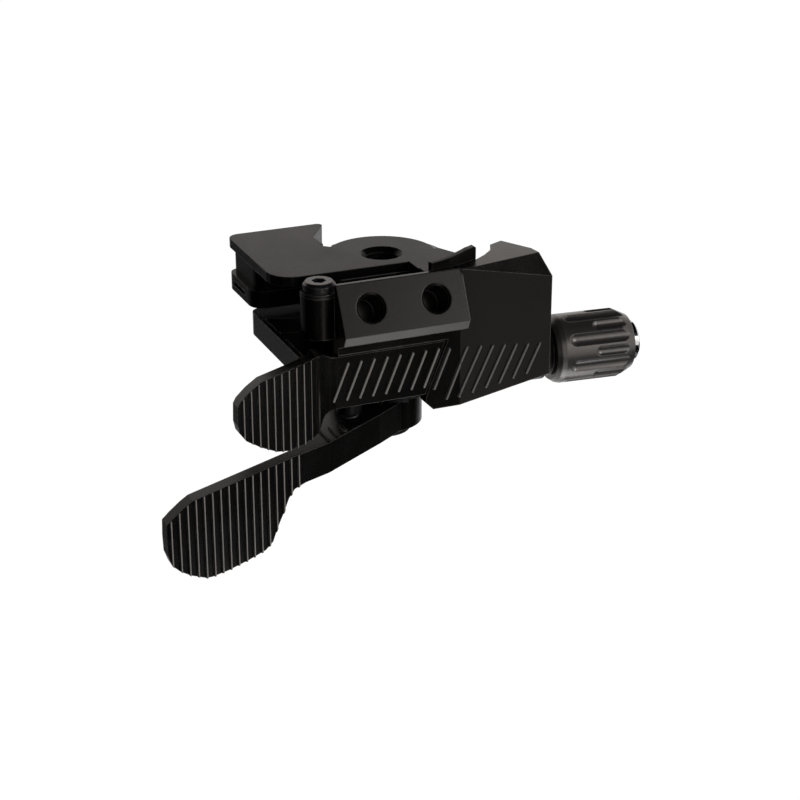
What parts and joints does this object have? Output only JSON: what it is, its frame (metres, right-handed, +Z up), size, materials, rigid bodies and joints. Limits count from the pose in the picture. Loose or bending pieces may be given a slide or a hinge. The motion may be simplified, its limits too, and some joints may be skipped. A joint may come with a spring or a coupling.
{
  "type": "dropper post remote lever",
  "caption": "Handlebar remote with ribbed push and release thumb paddles, pawl and ratchet cable spool, clamp block with threaded holes and a fluted barrel adjuster.",
  "frame": {"origin": "middle of the clamp face, between its two threaded holes", "axes": "+X along the handlebar towards the cable adjuster, +Y away from the rider's side, +Z up along the pivot axis"},
  "size_m": [0.0856, 0.0484, 0.039],
  "materials": {
    "housing_black": "satin black anodised cast alloy",
    "plate_black": "satin black anodised plate",
    "lever_black": "satin black anodised forging",
    "screw_black": "black oxide steel",
    "knob_black": "moulded black polymer, half gloss",
    "spring_black": "black oxide steel",
    "dark_steel": "black oxide steel",
    "steel": "ground steel",
    "spring_steel": "drawn wire",
    "spool_alloy": "turned alloy",
    "bronze": "sintered bronze",
    "washer_polymer": "low-friction polymer",
    "barrel_chrome": "bright plated"
  },
  "bodies": {
    "base": {"housing": "housing_black", "top_plate": "plate_black", "middle_block": "plate_black", "lower_plate": "plate_black", "plate_screws": "steel", "cover_screw": "screw_black", "screw_washer": "screw_black", "hold_pawl_pin": "dark_steel", "hold_pawl_spring": "spring_steel", "release_spring": "spring_steel", "adjuster_spring": "spring_black", "thrust_washers": "washer_polymer"},
    "push": {"push_lever": "lever_black", "lever_bush": "bronze", "drive_pawl_pin": "dark_steel", "drive_pawl_spring": "spring_steel", "lever_spring": "spring_steel"},
    "release": {"release_lever": "lever_black", "release_bush": "bronze"},
    "spool": {"cable_spool": "spool_alloy", "ratchet_wheel": "dark_steel", "main_axle": "dark_steel", "spool_spring": "spring_steel"},
    "driver": {"drive_pawl": "dark_steel"},
    "holder": {"hold_pawl": "dark_steel"},
    "barrel": {"adjuster_barrel": "barrel_chrome"},
    "knob": {"adjuster_knob": "knob_black"}
  },
  "joints": [
    {"name": "push_swing", "type": "hinge", "parent": "base", "child": "push", "pos_m": [0.0018, 0.01346, -0.02205], "axis": [0, 0, -1], "range_deg": [0, 26], "stiffness_Nm_per_rad": 0.12, "springref_deg": -17.19},
    {"name": "spool_turn", "type": "hinge", "parent": "base", "child": "spool", "pos_m": [0.0018, 0.01346, -0.01295], "axis": [0, 0, -1], "range_deg": [0, 26]},
    {"name": "release_swing", "type": "hinge", "parent": "base", "child": "release", "pos_m": [0.0018, 0.01346, -0.00735], "axis": [0, 0, -1], "range_deg": [0, 10], "stiffness_Nm_per_rad": 0.12, "springref_deg": -17.19},
    {"name": "hold_pawl_lift", "type": "hinge", "parent": "base", "child": "holder", "pos_m": [0.01087, 0.02192, -0.01775], "axis": [0, 0, 1], "range_deg": [0, 12]},
    {"name": "drive_pawl_lift", "type": "hinge", "parent": "push", "child": "driver", "pos_m": [-0.00727, 0.005, -0.01775], "axis": [0, 0, 1], "range_deg": [0, 8], "stiffness_Nm_per_rad": 0.002, "springref_deg": -17.19},
    {"name": "barrel_travel", "type": "slide", "parent": "base", "child": "barrel", "axis": [0.9948, -0.1016, 0], "range_m": [0, 0.003]},
    {"name": "knob_turn", "type": "hinge", "parent": "barrel", "child": "knob", "pos_m": [0.03336, 0.00287, -0.01295], "axis": [0.9948, -0.1016, 0], "range_deg": [0, 1080]}
  ],
  "couplings": [
    {"joint": "spool_turn", "follows": "push_swing", "ratio": 1},
    {"joint": "hold_pawl_lift", "follows": "push_swing", "ratio": 0.45},
    {"joint": "knob_turn", "follows": "barrel_travel", "rad_per_m": 6283.2}
  ]
}
